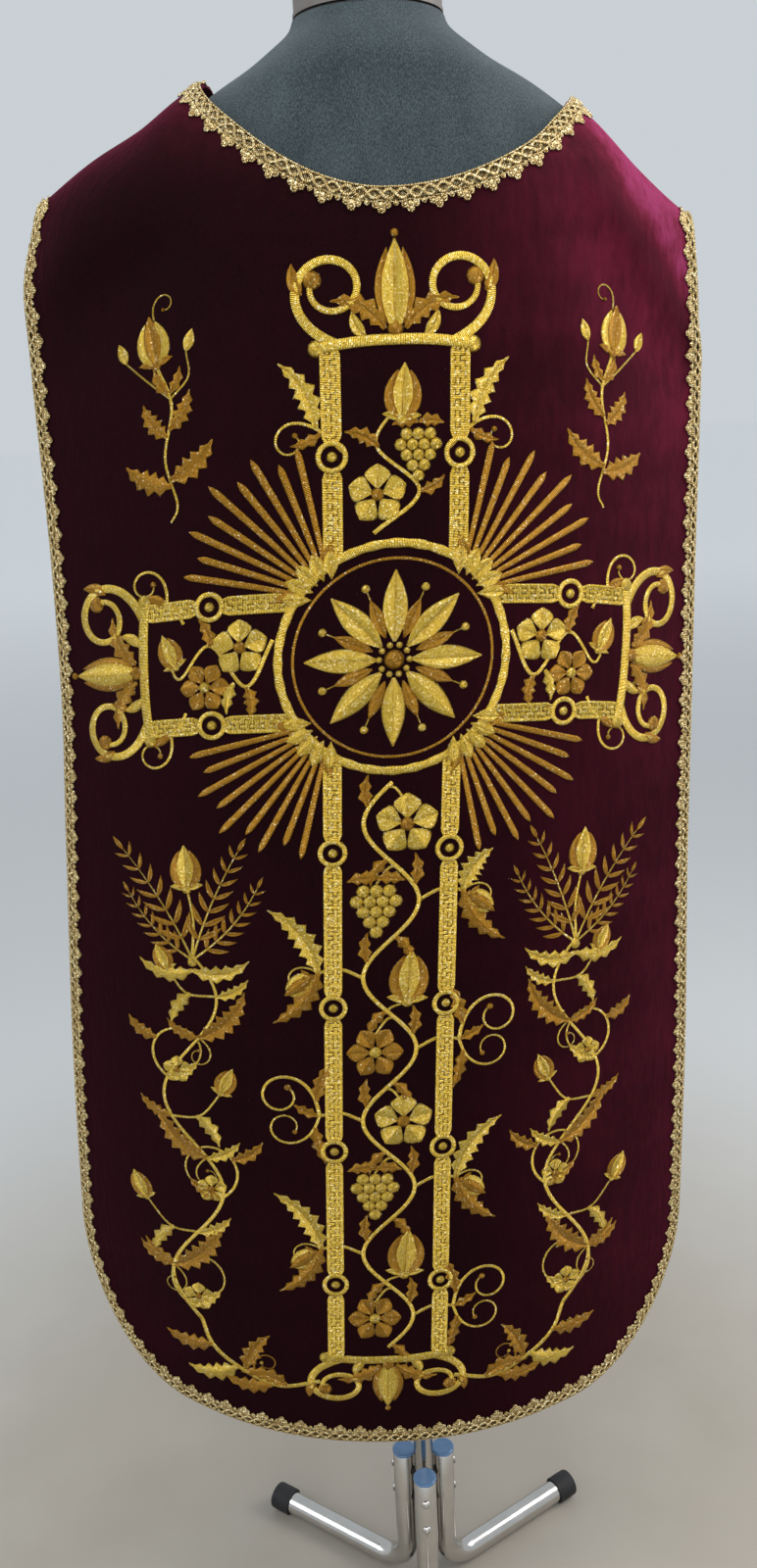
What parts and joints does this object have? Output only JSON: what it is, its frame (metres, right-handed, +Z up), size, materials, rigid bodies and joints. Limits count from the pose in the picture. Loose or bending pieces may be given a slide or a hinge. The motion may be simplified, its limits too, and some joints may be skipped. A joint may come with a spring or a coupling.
{
  "type": "roman chasuble on a limbless dress form with stand",
  "caption": "Sleeveless fiddleback chasuble with a straight-sided cross back, scalloped edge braid and open sides, on a torso form and tripod tube stand.",
  "frame": {"origin": "underside of the pole's foot plug, on the pole's axis, at floor level", "axes": "+Z up along the pole, -Y the way the garment's back faces, +X to the right of somebody looking at that back"},
  "size_m": [0.6263, 0.3598, 1.6623],
  "materials": {
    "velvet": "deep wine pile velvet with a soft magenta sheen where it turns to the light",
    "braid": "metallic old-gold crocheted braid with a scalloped picot edge",
    "embroidery": "bright and bronze metallic gold thread in raised satin stitch",
    "lining": "plain wine cloth on the panels' inner faces",
    "jersey": "charcoal flecked jersey stretched over the form",
    "neck_cap": "dull grey-brown moulded cap",
    "chrome": "polished chromium-plated steel tube",
    "rubber": "black moulded rubber",
    "plug": "blue injection-moulded end plug"
  },
  "bodies": {
    "root": {"back_panel": "velvet", "front_panel": "velvet", "back_edge_braid": "braid", "front_edge_braid": "braid", "back_neck_braid": "braid", "front_neck_braid": "braid", "form_torso": "jersey", "neck_cap": "neck_cap", "pole_socket": "rubber", "pole": "chrome", "pole_foot": "rubber", "leg_tube_1": "chrome", "leg_tube_2": "chrome", "leg_tube_3": "chrome", "leg_cap_1": "rubber", "leg_cap_2": "rubber", "leg_cap_3": "rubber", "leg_plug_1": "plug", "leg_plug_2": "plug", "leg_plug_3": "plug", "bolt_head_1_upper": "chrome", "bolt_head_1_lower": "chrome", "bolt_head_2_upper": "chrome", "bolt_head_2_lower": "chrome", "bolt_head_3_upper": "chrome", "bolt_head_3_lower": "chrome", "spacer_1_upper": "rubber", "spacer_1_lower": "rubber", "spacer_2_upper": "rubber", "spacer_2_lower": "rubber", "spacer_3_upper": "rubber", "spacer_3_lower": "rubber"}
  },
  "joints": []
}
